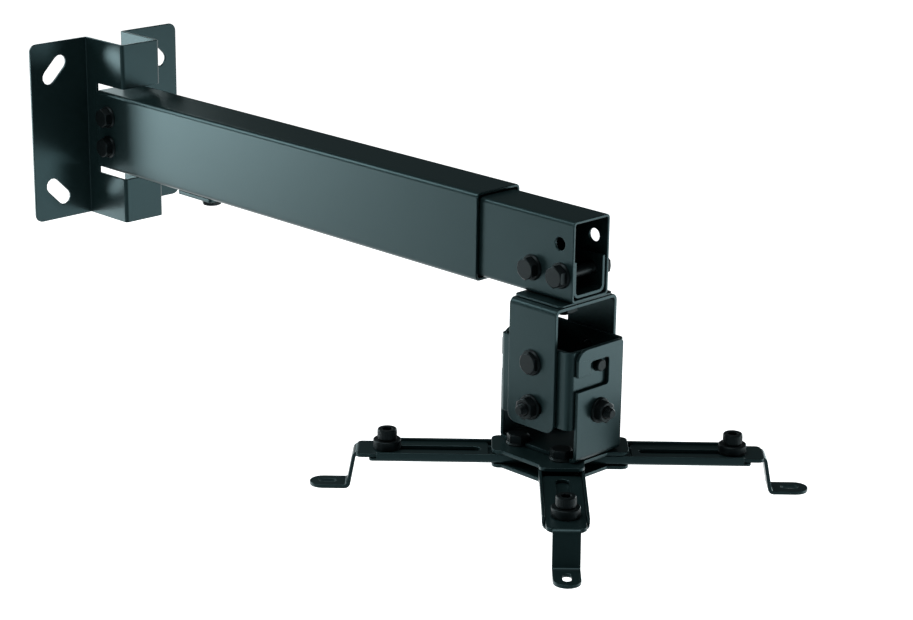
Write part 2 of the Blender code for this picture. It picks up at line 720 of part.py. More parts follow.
reach = YOKE_T + 2 * GAP + BLOCK_T + END_SHOWS
master = bolt("master", M8, reach, M8_AF, PIVOT_HEAD, M8_FLANGE_D, M8_FLANGE_T)
for name, sy in (("near", -1), ("far", 1)):
    at = (HEAD_X, sy * (YOKE_W / 2 + GAP), PIVOT_Z)
    finish(copy_of(master, "tilt_pivot_" + name, at, (0, -sy, 0)), swivel, ZINC)
drop(master)

# Tilt clamp bolts: heads inside the block, nuts outside the yoke

inside = BLOCK_W / 2 - BLOCK_T - GAP
nut_at = YOKE_W / 2 + GAP
reach = nut_at - inside + M8_NUT + THREAD_SHOWS
master = bolt("master", M8, reach, M8_AF, M8_HEAD, M8_AF, M8_FLANGE_T)
for name, sy in (("near", -1), ("far", 1)):
    at = (HEAD_X, sy * inside, CLAMP_Z)
    finish(copy_of(master, "tilt_bolt_" + name, at, (0, sy, 0)), tilt, ZINC)
    at = (HEAD_X, sy * nut_at, CLAMP_Z)
    finish(copy_of(master_nut, "tilt_nut_" + name, at, (0, sy, 0)), tilt, ZINC)
drop(master)

# Roll clamp bolts, and the pins that the cradle hooks on

inside = BLOCK_LENGTH / 2 - BLOCK_T - GAP
nut_at = EAR_OUT + GAP
reach = nut_at - inside + M8_NUT + THREAD_SHOWS
master = bolt("master", M8, reach, M8_AF, M8_HEAD, M8_AF, M8_FLANGE_T)
for name, sx in (("rear", -1), ("front", 1)):
    at = (HEAD_X + sx * inside, 0, CLAMP_Z)
    finish(copy_of(master, "roll_bolt_" + name, at, (sx, 0, 0)), tilt, ZINC)
    at = (HEAD_X + sx * nut_at, 0, CLAMP_Z)
    finish(copy_of(master_nut, "roll_nut_" + name, at, (sx, 0, 0)), tilt, ZINC)
drop(master, master_nut)
reach = EAR_OUT + PIN_SHOWS - inside
master = bolt("master", PIN_D, reach, M8_AF, M8_HEAD, M8_AF, M8_FLANGE_T)
for name, sx in (("rear", -1), ("front", 1)):
    at = (HEAD_X + sx * inside, 0, PIVOT_Z)
    finish(copy_of(master, "hook_pin_" + name, at, (sx, 0, 0)), tilt, ZINC)
drop(master)

# Cradle: a channel across the hub whose ears hook over the pins of the block

side_x = EAR_OUT - EAR_T / 2
low_z = FLOOR_LOW + EAR_T / 2
path = [
    (HEAD_X - side_x, EAR_TOP), (HEAD_X - side_x, low_z),
    (HEAD_X + side_x, low_z), (HEAD_X + side_x, EAR_TOP),
]
cradle = prism(
    "cradle", [strip(path, EAR_T, [EAR_BEND] * 2)], "XZ", -EAR_W / 2, EAR_W / 2
)
ear, low = EAR_W / 2 + GAP, FLOOR_LOW - GAP
ear_view = rounded_polygon(
    [(-ear, low), (ear, low), (ear, EAR_TOP), (-ear, EAR_TOP)],
    [0, 0, EAR_CORNER_SMALL, EAR_CORNER], 6
)
x0, x1 = HEAD_X - 2 * EAR_OUT, HEAD_X + 2 * EAR_OUT
keep(cradle, [prism("ear_view", [ear_view], "YZ", x0, x1, tools)])
hook_top = PIVOT_Z + PIN_D / 2 + HOLE_EASE
hook_middle = hook_top - PIN_D - 2 * HOLE_EASE
hook_low = hook_middle - HOOK_DROP
hook = rounded_polygon(
    [
        (-EAR_W, hook_low), (HOOK_FAR, hook_low), (HOOK_FAR, hook_top),
        (HOOK_NEAR, hook_top), (HOOK_NEAR, hook_middle), (-EAR_W, hook_middle),
    ],
    [0, HOOK_CORNER, HOOK_CORNER, HOOK_CORNER, TOOTH_CORNER, 0]
)
sweep = math.radians(ROLL_RANGE)
curved = arc_slot((0, PIVOT_Z), CLAMP_RADIUS, -math.pi / 2, sweep, M8 + 2 * HOLE_EASE)
cutters = [
    prism("hook", [hook], "YZ", x0, x1, tools),
    prism("roll_slot", [curved], "YZ", x0, x1, tools),
]
bolt_places = []
for side, angle in ARMS.items():
    a = math.radians(angle)
    at = (HEAD_X + HUB_BOLT_R * math.cos(a), HUB_BOLT_R * math.sin(a), 0)
    bolt_places.append((side, at))
    room = HUB_BOLT_FLANGE_D / 2 + HUB_BOLT_ROOM
    cutters.append(cylinder("room", at, (0, 0, 1), room, 2 * HUB_TOP, FLOOR_HIGH + HUB_T))
finish(cut(cradle, cutters), roll, COAT)

# Hub plates above and below the arms, and the four bolts screwed into the lower one


def hub_outline():
    """A rectangle whose corners run out into four tabs as wide as the arms."""
    half = ARM_W / 2
    points = []
    for turn in range(4):
        a = math.radians(FIRST_ARM + 90 * turn)
        ux, uy = math.cos(a), math.sin(a)
        sides = (HUB_SIDE_X, HUB_SIDE_Y) if turn in (0, 2) else (HUB_SIDE_Y, HUB_SIDE_X)
        before, after = (side / math.sqrt(0.5) - half for side in sides)
        for along, across in (
            (before, -half), (TAB_REACH, -half), (TAB_REACH, half), (after, half)
        ):
            points.append((HEAD_X + ux * along - uy * across, uy * along + ux * across))
    return rounded_polygon(points, [0, ARM_CORNER, ARM_CORNER, 0] * 4, 4)


hub_plate_top = ARM_BOTTOM - GAP
hub_plate_low = hub_plate_top - HUB_BOTTOM_T
plates = (
    ("hub_plate_upper", HUB_UNDER, HUB_TOP, HOLE_EASE),
    ("hub_plate_lower", hub_plate_low, hub_plate_top, GAP),
)
for name, low, high, ease in plates:
    hub_plate = prism(name, [hub_outline()], "XY", low, high)
    cutters = []
    for side, at in bolt_places:
        radius = M8 / 2 + ease
        cutters.append(cylinder("hole", at, (0, 0, 1), radius, 2 * HUB_TOP, 0))
    finish(cut(hub_plate, cutters), roll, COAT)
seat = HUB_TOP + GAP
span = seat - hub_plate_low + END_SHOWS
master = bolt("master", M8, span, M8_AF, M8_HEAD, HUB_BOLT_FLANGE_D, M8_FLANGE_T)
for side, at in bolt_places:
    place = (at[0], at[1], seat)
    finish(copy_of(master, "hub_bolt_" + side, place, (0, 0, -1)), roll, ZINC)
drop(master)

# Spider arms and legs, drawn along +X from the hub's centre and turned into place


def place_on_arm(obj, angle):
    """Turns a piece drawn along +X round the hub's centre."""
    obj.data.transform(Matrix.Rotation(math.radians(angle), 4, "Z"))
    obj.data.transform(Matrix.Translation((HEAD_X, 0, 0)))
    return obj


def arm_channel(name):
    """A shallow channel with a round-cornered tip beyond its flanges."""
    half = ARM_W / 2 - ARM_T / 2
    low = ARM_BOTTOM + ARM_T / 2
    path = [(-half, ARM_TOP), (-half, low), (half, low), (half, ARM_TOP)]
    body = prism(name, [strip(path, ARM_T, [ARM_BEND] * 2, 3)], "YZ", ARM_ROOT, ARM_TIP)
    plan = rounded_polygon(
        [
            (ARM_ROOT, -ARM_W / 2), (ARM_TIP, -ARM_W / 2),
            (ARM_TIP, ARM_W / 2), (ARM_ROOT, ARM_W / 2),
        ],
        [0, ARM_CORNER, ARM_CORNER, 0], 5
    )
    keep(body, [prism("plan", [plan], "XY", ARM_BOTTOM - GAP, ARM_TOP + GAP, tools)])
    end = rectangle(ARM_FLANGE_END, 2 * ARM_TIP, -ARM_W, ARM_W)
    cutters = [prism("end", [end], "XY", ARM_BOTTOM + ARM_T, 0, tools)]
    for r in (HUB_BOLT_R, LEG_SCREW_R):
        cutters.append(cylinder("hole", (r, 0, 0), (0, 0, 1), M8 / 2 + GAP, 2 * ARM_BOTTOM, 0))
    return cut(body, cutters)


def leg_bar(name):
    """A slotted bar that slides in the channel, bent down to a narrower round-ended foot."""
    middle = LEG_TOP - LEG_T / 2
    foot = LEG_FOOT_Z - LEG_T / 2
    lean = (LEG_FOOT_AT - LEG_BEND_AT) / (LEG_TOP - LEG_FOOT_Z)
    top_x = LEG_BEND_AT - LEG_T / 2
    low_x = top_x + lean * (middle - foot)
    path = [(LEG_ROOT, middle), (top_x, middle), (low_x, foot), (LEG_FOOT_END, foot)]
    body = prism(
        name, [strip(path, LEG_T, [LEG_BEND] * 2, 4)], "XZ", -LEG_W / 2, LEG_W / 2
    )
    neck, wide = LEG_NECK_W / 2, LEG_W / 2
    shoulder = wide - neck - SHOULDER_STEP
    end = neck - FOOT_STEP
    plan = rounded_polygon(
        [
            (LEG_ROOT, -wide), (LEG_PLATE_END, -wide), (LEG_PLATE_END, -neck),
            (LEG_FOOT_END, -neck), (LEG_FOOT_END, neck), (LEG_PLATE_END, neck),
            (LEG_PLATE_END, wide), (LEG_ROOT, wide),
        ],
        [LEG_ROOT_CORNER, shoulder, 0, end, end, 0, shoulder, LEG_ROOT_CORNER], 6
    )
    keep(body, [prism("plan", [plan], "XY", 2 * LEG_FOOT_Z, 0, tools)])
    slot_in, slot_out = LEG_SCREW_R - LEG_OUT, LEG_SCREW_R + LEG_IN
    long_slot = slot(
        ((slot_in + slot_out) / 2, 0), 0, slot_out - slot_in, M8 + 2 * HOLE_EASE
    )
    foot_x = (low_x + LEG_FOOT_END) / 2 + FOOT_SLOT_SHIFT
    foot_slot = slot((foot_x, 0), 0, FOOT_SLOT_TRAVEL, FOOT_SLOT_W)
    cutters = [
        prism("long_slot", [long_slot], "XY", LEG_UNDER - LEG_T, 0, tools),
        prism("foot_slot", [foot_slot], "XY", foot - LEG_T, foot + LEG_T, tools),
    ]
    return cut(body, cutters)


def cap_screw(name):
    """A socket-head screw: head down -Z, shaft up +Z."""
    length = CAP_Z - ARM_BOTTOM
    shaft = cylinder(name, (0, 0, 0), (0, 0, 1), M8 / 2, -BITE, length, 16, mount)
    head = cylinder("head", (0, 0, 0), (0, 0, 1), CAP_D / 2, -CAP_H, 0, 24)
    join(shaft, [head])
    socket = cylinder(
        "socket", (0, 0, 0), (0, 0, 1), hex_radius(CAP_SOCKET),
        -2 * CAP_H, -CAP_H + CAP_SOCKET_DEPTH, 6
    )
    return cut(shaft, [socket])


screw = cap_screw("master_cap")
for side, angle in ARMS.items():
    finish(place_on_arm(arm_channel("arm_" + side), angle), roll, COAT)
    finish(place_on_arm(leg_bar("leg_" + side), angle), leg_slides[side], COAT)
    collar = cylinder(
        "leg_collar_" + side, (LEG_SCREW_R, 0, 0), (0, 0, 1), COLLAR_D / 2,
        COLLAR_Z, COLLAR_Z + COLLAR_H, 24, mount
    )
    bore = cylinder(
        "bore", (LEG_SCREW_R, 0, 0), (0, 0, 1), M8 / 2 + HOLE_EASE, 2 * COLLAR_Z, 0
    )
    finish(place_on_arm(cut(collar, [bore]), angle), roll, ZINC)
    at = (LEG_SCREW_R, 0, CAP_Z)
    piece = copy_of(screw, "leg_screw_" + side, at, (0, 0, -1))
    finish(place_on_arm(piece, angle), roll, ZINC)
drop(screw)
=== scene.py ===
# %% [markdown]
# # A projector wall mount
# The mount is made of folded and welded steel sheet, powder-coated near black, and held
# together by black bolts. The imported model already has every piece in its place, so this
# file gives the sheet pieces their rounded edges, the bolts their threads and chamfers, and
# everything its finish. Sizes are in metres, and +X runs out from the wall.

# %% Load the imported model
import json
import math

import bmesh
import bpy
from mathutils import Matrix, Vector


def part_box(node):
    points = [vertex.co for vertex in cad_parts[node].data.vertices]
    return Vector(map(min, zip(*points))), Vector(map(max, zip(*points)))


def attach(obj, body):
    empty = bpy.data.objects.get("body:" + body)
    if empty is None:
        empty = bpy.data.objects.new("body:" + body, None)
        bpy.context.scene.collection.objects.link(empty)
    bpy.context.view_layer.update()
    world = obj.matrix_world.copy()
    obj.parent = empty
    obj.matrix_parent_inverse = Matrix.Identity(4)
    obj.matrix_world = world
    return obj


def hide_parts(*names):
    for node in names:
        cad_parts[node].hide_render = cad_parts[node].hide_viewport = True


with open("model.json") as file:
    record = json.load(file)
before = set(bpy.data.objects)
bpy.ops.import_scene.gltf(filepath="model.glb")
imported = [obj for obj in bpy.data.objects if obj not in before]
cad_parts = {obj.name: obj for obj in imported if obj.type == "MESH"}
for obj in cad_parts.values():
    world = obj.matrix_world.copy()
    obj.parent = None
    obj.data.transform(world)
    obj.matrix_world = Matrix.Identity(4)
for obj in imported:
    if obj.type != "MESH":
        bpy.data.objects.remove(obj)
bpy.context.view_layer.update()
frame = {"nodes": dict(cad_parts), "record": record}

MM = 0.001

# %% [markdown]
# ## Camera
# The photograph is a long-lens view from the head's end, 45 degrees round and 18 degrees
# above. A long lens keeps parallel edges nearly parallel, which the tubes show.

# %% Place the camera
camera_data = bpy.data.cameras.new("camera")
camera_data.lens = 95.72
camera_data.sensor_width = 36
camera_data.clip_end = 50
camera = bpy.data.objects.new("camera", camera_data)
right = Vector((0.70194, 0.71213, 0.01269))
up = Vector((-0.22383, 0.20364, 0.95312))
back = Vector((0.67615, -0.67187, 0.30233))
turn = Matrix((right, up, back)).transposed().to_4x4()
camera.matrix_world = Matrix.Translation((1.49883, -1.10245, 0.43372)) @ turn
bpy.context.scene.collection.objects.link(camera)
bpy.context.scene.camera = camera
print("lens:", camera_data.lens)

# %% [markdown]
# ## Colours
# Colours are picked as sRGB hex values, as a paint chart gives them. Shaders work in linear
# light, so one function converts them. Another small function adds a node with everything that
# it needs, which keeps the trees below short.

# %% Colour and node helpers
def srgb(code):
    """A hex colour as linear red, green, blue and alpha."""
    values = []
    for i in (0, 2, 4):
        v = int(code[i:i + 2], 16) / 255
        values.append(v / 12.92 if v <= 0.04045 else ((v + 0.055) / 1.055) ** 2.4)
    return (*values, 1.0)


def add_node(tree, kind, settings=None, inputs=None, links=None):
    """One shader or geometry node with its settings, its input values and its links."""
    node = tree.nodes.new(kind)
    for key, value in (settings or {}).items():
        setattr(node, key, value)
    for key, value in (inputs or {}).items():
        node.inputs[key].default_value = value
    for key, source in (links or {}).items():
        tree.links.new(source, node.inputs[key])
    return node


WHITE, COOL_WHITE = "ffffff", "dff0f2"
print("cool white in linear light:", [round(v, 3) for v in srgb(COOL_WHITE)[:3]])

# %% [markdown]
# ## Floor and backdrop
# The floor is a sheet of white paper that glows where it lies behind the mount and fades out
# in front, so faces that look forward stay dark. A lit backdrop could do the same, but a fade
# in the paper's own coordinates needs no light of its own and stays put from every side.

# %% White paper that glows behind the mount
paper_look = bpy.data.materials.new("white_studio_paper")
paper_look.use_nodes = True
paper_tree = paper_look.node_tree
paper = paper_tree.nodes["Principled BSDF"]
paper.inputs["Base Color"].default_value = srgb("e8e8e8")
paper.inputs["Roughness"].default_value = 0.9
paper.inputs["Emission Color"].default_value = srgb(WHITE)
spot = add_node(paper_tree, "ShaderNodeTexCoord")
depth = add_node(
    paper_tree, "ShaderNodeVectorMath", {"operation": "DOT_PRODUCT"}, {1: (-1, 1, 0)},
    {0: spot.outputs["Object"]}
)
glow = add_node(
    paper_tree, "ShaderNodeMapRange", {"interpolation_type": "SMOOTHSTEP"},
    {"From Min": -1.1, "From Max": 0.35, "To Min": 0.05, "To Max": 1.1},
    {"Value": depth.outputs["Value"]}
)
paper_tree.links.new(glow.outputs["Result"], paper.inputs["Emission Strength"])
print("paper glows from", glow.inputs["To Min"].default_value, "in front to",
      round(glow.inputs["To Max"].default_value, 2), "behind")

# %% [markdown]
# ## The sheet and the world around it
# One large square below the mount is enough for the paper, as the fade is in its material. The
# world is pale where it is seen above the paper, so the dark steel stands out from it, but it
# lights the steel only faintly. That takes one node, which tells a ray from the camera from all
# others.

# %% Floor and world
FLOOR_HALF, FLOOR_Z = 20, -0.55
sheet = bpy.data.meshes.new("floor")
sheet.from_pydata(
    [(x * FLOOR_HALF, y * FLOOR_HALF, FLOOR_Z) for x, y in ((-1, -1), (1, -1), (1, 1), (-1, 1))],
    [], [(0, 1, 2, 3)]
)
sheet.materials.append(paper_look)
floor = bpy.data.objects.new("floor", sheet)
bpy.context.scene.collection.objects.link(floor)
world = bpy.data.worlds.new("studio")
bpy.context.scene.world = world
world.use_nodes = True
sky = world.node_tree.nodes["Background"]
sky.inputs["Color"].default_value = srgb("a8b2b4")
ray = add_node(world.node_tree, "ShaderNodeLightPath")
dim = add_node(
    world.node_tree, "ShaderNodeMapRange", None, {"To Min": 0.09, "To Max": 1.9},
    {"Value": ray.outputs["Is Camera Ray"]}
)
world.node_tree.links.new(dim.outputs["Result"], sky.inputs["Strength"])
bpy.context.scene.view_settings.view_transform = "Standard"
print("floor at", FLOOR_Z)

# %% [markdown]
# ## Soft panels
# Dark glossy steel shows its surroundings more than its colour, so large panels draw its
# forms: one on the wall side for the tube's flank, one past the head for the cradle's ear,
# one behind the wall plate for the tube's top, one over the flank for its upper edge, and one
# above for the whole. Four low ones stand square to the sides, for whoever walks round it.

# %% Soft panels
def panel(name, at, target, size, power, colour):
    """A rectangular area light that faces a point and isn't seen itself."""
    data = bpy.data.lights.new(name, "AREA")
    data.shape = "RECTANGLE"
    data.size, data.size_y = size
    data.energy = power
    data.color = srgb(colour)[:3]
    obj = bpy.data.objects.new(name, data)
    obj.location = at
    obj.rotation_euler = (Vector(target) - Vector(at)).to_track_quat("-Z", "Y").to_euler()
    obj.visible_camera = False
    bpy.context.scene.collection.objects.link(obj)


PANELS = {
    "wall_side": ((-1.62, -1.2, -0.36), (0.15, 0, 0), (0.6, 0.8), 13, COOL_WHITE),
    "past_head": ((1.5, 0.88, -0.5), (0.52, 0, -0.1), (0.6, 0.6), 3.8, COOL_WHITE),
    "behind_wall": ((-1.5, 0.85, 0.48), (0.1, 0, 0), (0.5, 0.5), 2, COOL_WHITE),
    "over_flank": ((-1.35, -0.85, 1.0), (0.3, 0, 0), (0.6, 1.2), 16, COOL_WHITE),
    "above": ((0.3, -0.5, 2.2), (0.3, 0, 0), (1.6, 1.6), 25, WHITE),
    "near_side": ((0.3, -2.4, 0.1), (0.3, 0, 0), (1.2, 0.5), 8, COOL_WHITE),
    "far_side": ((0.3, 2.4, 0.1), (0.3, 0, 0), (1.2, 0.5), 12, COOL_WHITE),
    "head_end": ((2.9, 0, 0.1), (0.5, 0, 0), (0.8, 0.5), 6, COOL_WHITE),
    "wall_end": ((-2.2, 0, 0.3), (0, 0, 0), (0.8, 0.5), 6, COOL_WHITE),
}
for name, settings in PANELS.items():
    panel(name, *settings)
print("lights:", len(PANELS))

# %% [markdown]
# ## Finishes
# The sheet pieces are powder-coated steel: a baked plastic skin, near black with a cold sheen,
# whose faint orange peel is about a millimetre from crest to crest. The hardware is steel with
# black zinc, darker and duller. Its real grain is too fine to show, so it is drawn 0.8 mm wide.
# What shows is the skin, not bare metal, so the shader isn't metallic. The noise follows each
# object's own coordinates, so it stays in place when a joint moves.

# %% Finishes
UNEVEN = 0.04                # how far the roughness strays to each side
GRAIN_HEIGHT = 0.05 * MM


def coated_steel(name, colour, sheen, roughness, grain_mm, bump):
    """A dark satin skin whose gloss and height vary a little with its grain."""
    look = bpy.data.materials.new(name)
    look.use_nodes = True
    tree = look.node_tree
    shader = tree.nodes["Principled BSDF"]
    place = add_node(tree, "ShaderNodeTexCoord")
    grain = add_node(
        tree, "ShaderNodeTexNoise", None,
        {"Scale": 1 / (grain_mm * MM), "Detail": 2.0}, {"Vector": place.outputs["Object"]}
    )
    rough = add_node(
        tree, "ShaderNodeMapRange", None,
        {"To Min": roughness - UNEVEN, "To Max": roughness + UNEVEN},
        {"Value": grain.outputs["Fac"]}
    )
    relief = add_node(
        tree, "ShaderNodeBump", None,
        {"Strength": bump, "Distance": GRAIN_HEIGHT}, {"Height": grain.outputs["Fac"]}
    )
    shader.inputs["Base Color"].default_value = srgb(colour)
    shader.inputs["Specular Tint"].default_value = srgb(sheen)
    tree.links.new(rough.outputs["Result"], shader.inputs["Roughness"])
    tree.links.new(relief.outputs["Normal"], shader.inputs["Normal"])
    return look


powder_coat = coated_steel("powder_coated_steel", "162425", "c2f2fa", 0.3, 1.2, 0.25)
black_zinc = coated_steel("black_zinc_plated_steel", "0c1011", "8fa2a7", 0.4, 0.8, 0.15)
slots = {s["node"]: s["material_slot"] for s in frame["record"]["subparts"]}
for name, obj in frame["nodes"].items():
    look = powder_coat if slots[name] == "powder_coat" else black_zinc
    for index in range(len(obj.material_slots)):
        obj.material_slots[index].material = look
print("nodes with a finish:", len(frame["nodes"]))

# %% [markdown]
# ## Folded sheet
# Sheet that was punched and folded has no razor edges: each rim is rounded by a few tenths of
# a millimetre, and the coat rounds it more. These thin rounds catch the light along the
# tubes and the ears. Each sheet piece could be drawn anew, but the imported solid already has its
# folds and slots. So a merged copy of the solid gets bevelled edges and stands for it.

# %% Round the rims of the sheet pieces
def put(name, mesh, look, body):
    """A new object of the scene that carries one look and rides one body."""
    mesh.materials.clear()
    mesh.materials.append(look)
    obj = bpy.data.objects.new(name, mesh)
    bpy.context.scene.collection.objects.link(obj)
    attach(obj, body)
    return obj


def evaluated(obj):
    """The object's mesh with its modifiers applied, after which the object is removed."""
    bpy.context.view_layer.update()
    seen = obj.evaluated_get(bpy.context.evaluated_depsgraph_get())
    mesh = bpy.data.meshes.new_from_object(seen)
    bpy.data.objects.remove(obj)
    return mesh


def rounded(node, width):
    """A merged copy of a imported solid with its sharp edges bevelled."""
    mesh = frame["nodes"][node].data.copy()
    work = bmesh.new()
    work.from_mesh(mesh)
    bmesh.ops.remove_doubles(work, verts=work.verts, dist=1e-6)
    bmesh.ops.dissolve_limit(
        work, angle_limit=math.radians(0.5), verts=work.verts, edges=work.edges
    )
    work.to_mesh(mesh)
    work.free()
    mesh.shade_smooth()
    obj = bpy.data.objects.new(node, mesh)
    bpy.context.scene.collection.objects.link(obj)
    bevel = obj.modifiers.new("rims", "BEVEL")
    bevel.width = width
    bevel.segments = 2
    bevel.limit_method = "ANGLE"
    bevel.angle_limit = math.radians(35)
    bevel.use_clamp_overlap = False
    bevel.harden_normals = True
    weigh = obj.modifiers.new("normals", "WEIGHTED_NORMAL")
    weigh.keep_sharp = True
    return evaluated(obj)


groups = frame["record"]["behaviour"]["bodies"]
body_of = {node: body for body, members in groups.items() for node in members}
RIM = 0.4                    # millimetres, on all but the heaviest pieces
HEAVY_RIM = {"inner_tube": 0.5, "outer_tube": 0.5, "wall_plate": 0.45}
sheets = [n for n in frame["nodes"] if slots[n] == "powder_coat"]
for node in sheets:
    mesh = rounded(node, HEAVY_RIM.get(node, RIM) * MM)
    piece = put(node + "_sheet", mesh, powder_coat, body_of[node])
    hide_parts(node)
print("sheet pieces:", len(sheets))

# %% [markdown]
# ## Ridges by rule
# A thread is one ridge that winds along a shaft, and a knurl is a row of straight ridges round
# a head. Both are the same surface: a tube whose radius rises and falls as a triangle wave
# round and along it. So one node group bends a grid into either. A thread has one ridge round
# and many turns along, and a knurl has many ridges round and no turns.

# %% Node group for threads and knurls
def ridged_tube():
    """A node group that draws a tube with ridges that run straight or wind."""
    group = bpy.data.node_groups.new("ridged_tube", "GeometryNodeTree")
    sockets = (
        ("Radius", "NodeSocketFloat"), ("Depth", "NodeSocketFloat"),
        ("Length", "NodeSocketFloat"), ("Ridges", "NodeSocketFloat"),
        ("Turns", "NodeSocketFloat"), ("Run-out", "NodeSocketFloat"),
        ("Around", "NodeSocketInt"), ("Rows", "NodeSocketInt"),
        ("Material", "NodeSocketMaterial"),
    )
    for label, kind in sockets:
        group.interface.new_socket(label, in_out="INPUT", socket_type=kind)
    group.interface.new_socket("Geometry", in_out="OUTPUT", socket_type="NodeSocketGeometry")
    given = add_node(group, "NodeGroupInput").outputs

    def math_node(operation, *values):
        node = add_node(group, "ShaderNodeMath", {"operation": operation})
        for index, value in enumerate(values):
            if isinstance(value, (int, float)):
                node.inputs[index].default_value = value
            else:
                group.links.new(value, node.inputs[index])
        return node.outputs[0]

    grid = add_node(group, "GeometryNodeMeshGrid", None, {"Size X": 1.0, "Size Y": 1.0}, {
        "Vertices X": given["Rows"], "Vertices Y": given["Around"],
    })
    where = add_node(group, "GeometryNodeInputPosition")
    split = add_node(
        group, "ShaderNodeSeparateXYZ", links={"Vector": where.outputs["Position"]}
    ).outputs
    along = math_node("ADD", split["X"], 0.5)
    round_it = math_node("ADD", split["Y"], 0.5)
    angle = math_node("MULTIPLY", round_it, 2 * math.pi)
    phase = math_node(
        "SUBTRACT", math_node("MULTIPLY", round_it, given["Ridges"]),
        math_node("MULTIPLY", along, given["Turns"])
    )
    wave = math_node("PINGPONG", math_node("MULTIPLY", phase, 2.0), 1.0)
    rest = math_node("SUBTRACT", 1.0, along)
    fade = math_node("DIVIDE", math_node("MINIMUM", along, rest), given["Run-out"])
    fade = math_node("MINIMUM", fade, 1.0)
    rise = math_node("MULTIPLY", math_node("MULTIPLY", wave, fade), given["Depth"])
    radius = math_node("ADD", math_node("SUBTRACT", given["Radius"], given["Depth"]), rise)
    place = add_node(group, "ShaderNodeCombineXYZ", links={
        "X": math_node("MULTIPLY", radius, math_node("COSINE", angle)),
        "Y": math_node("MULTIPLY", radius, math_node("SINE", angle)),
        "Z": math_node("MULTIPLY", along, given["Length"]),
    })
    bent = add_node(group, "GeometryNodeSetPosition", links={
        "Geometry": grid.outputs["Mesh"], "Position": place.outputs["Vector"],
    })
    closed = add_node(group, "GeometryNodeMergeByDistance", None, {"Distance": 1e-6}, {
        "Geometry": bent.outputs["Geometry"],
    })
    real = add_node(group, "GeometryNodeRealizeInstances", links={
        "Geometry": closed.outputs["Geometry"],
    })
    dressed = add_node(group, "GeometryNodeSetMaterial", links={
        "Geometry": real.outputs["Geometry"], "Material": given["Material"],
    })
    add_node(group, "NodeGroupOutput", links={"Geometry": dressed.outputs["Geometry"]})
    return group


RIDGED = ridged_tube()
SOCKET = {i.name: i.identifier for i in RIDGED.interface.items_tree if i.in_out == "INPUT"}
print("inputs:", ", ".join(SOCKET))

# %% [markdown]
# ## Turned and hexagonal forms
# A fastener is turned from round or hexagon bar, so it is drawn as a stack of rings. Where a
# ring has both a radius and a size across flats, the smaller wins at each angle. That is how a
# lathe chamfers a hexagon bar, and it gives the curved edges that real nuts and heads have.

# %% A mesh from rings
RING_POINTS = 48


def turned(rings, closed=False):
    """A mesh from rings of (height, radius, size across flats), of which one may be None."""
    work = bmesh.new()
    loops = []
    for z, radius, flats in rings:
        loop = []
        for i in range(RING_POINTS):
            a = 2 * math.pi * i / RING_POINTS
            r = math.inf if radius is None else radius
            if flats is not None:
                off = (a + math.pi / 6) % (math.pi / 3) - math.pi / 6
                r = min(r, flats / 2 / math.cos(off))
            loop.append(work.verts.new((r * math.cos(a), r * math.sin(a), z)))
        loops.append(loop)
    pairs = list(zip(loops, loops[1:]))
    if closed:
        pairs.append((loops[-1], loops[0]))
    for lower, upper in pairs:
        for i in range(RING_POINTS):
            j = (i + 1) % RING_POINTS
            work.faces.new((lower[i], lower[j], upper[j], upper[i]))
    if not closed:
        work.faces.new(loops[0][::-1])
        work.faces.new(loops[-1])
    bmesh.ops.recalc_face_normals(work, faces=work.faces)
    mesh = bpy.data.meshes.new("turned")
    work.to_mesh(mesh)
    work.free()
    mesh.shade_smooth()
    mesh.set_sharp_from_angle(angle=math.radians(28))
    return mesh


print("degrees from point to point:", 360 / RING_POINTS)

# %% [markdown]
# ## Cutting threads and knurls
# On the real screw they are rolled into the turned blank. They could be cut with a boolean, but
# that is slow and leaves thin faces. Here the node group draws them as a skin that lies over
# the turned core. Its result becomes a plain mesh at once and moves up to where it starts.

# %% A thread or a knurl from the node group
THREAD_POINTS = 49           # round a thread, the first and last in one place
ROWS = 12                    # along each turn of a thread, or along a knurl


def ridges(radius, depth, start, length, count, turns, look):
    """A thread or a knurl, moved up to where it starts. A thread runs out over one turn at
    each end, a knurl over a tenth of its height."""
    runout = 1 / turns if turns else 0.1
    if turns:
        around, rows = THREAD_POINTS, int(turns * ROWS)
    else:
        around, rows = 4 * count + 1, ROWS
    carrier = bpy.data.objects.new("ridges", bpy.data.meshes.new("ridges"))
    bpy.context.scene.collection.objects.link(carrier)
    nodes = carrier.modifiers.new("ridges", "NODES")
    nodes.node_group = RIDGED
    values = {
        "Radius": radius, "Depth": depth, "Length": length, "Ridges": float(count),
        "Turns": float(turns), "Run-out": runout, "Around": around, "Rows": rows,
        "Material": look,
    }
    for label, value in values.items():
        nodes[SOCKET[label]] = value
    mesh = evaluated(carrier)
    mesh.transform(Matrix.Translation((0, 0, start)))
    mesh.shade_smooth()
    return mesh


print("faces a turn:", (THREAD_POINTS - 1) * ROWS)

# %% [markdown]
# ## From a drawing to its hole
# Every fastener is drawn at the origin, up +Z, and then aimed along its hole. Its place could
# be typed in again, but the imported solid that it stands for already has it. So the new mesh
# starts at one end of the solid and is as long as the solid.

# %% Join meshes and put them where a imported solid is
def merged(meshes):
    """Several meshes as one."""
    work = bmesh.new()
    for mesh in meshes:
        work.from_mesh(mesh)
    result = bpy.data.meshes.new("fastener")
    work.to_mesh(result)
    work.free()
    return result


def stands_for(node, direction, mesh, look):
    """Aims a fastener drawn up +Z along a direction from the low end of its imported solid."""
    low, high = (Vector(corner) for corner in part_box(node))
    way = Vector(direction)
    middle = (low + high) / 2
    reach = abs(way.dot(high - low)) / 2
    aim = way.to_track_quat("Z", "Y").to_matrix().to_4x4()
    mesh.transform(Matrix.Translation(middle - way * reach) @ aim)
    piece = put(node + "_turned", mesh, look, body_of[node])
    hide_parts(node)


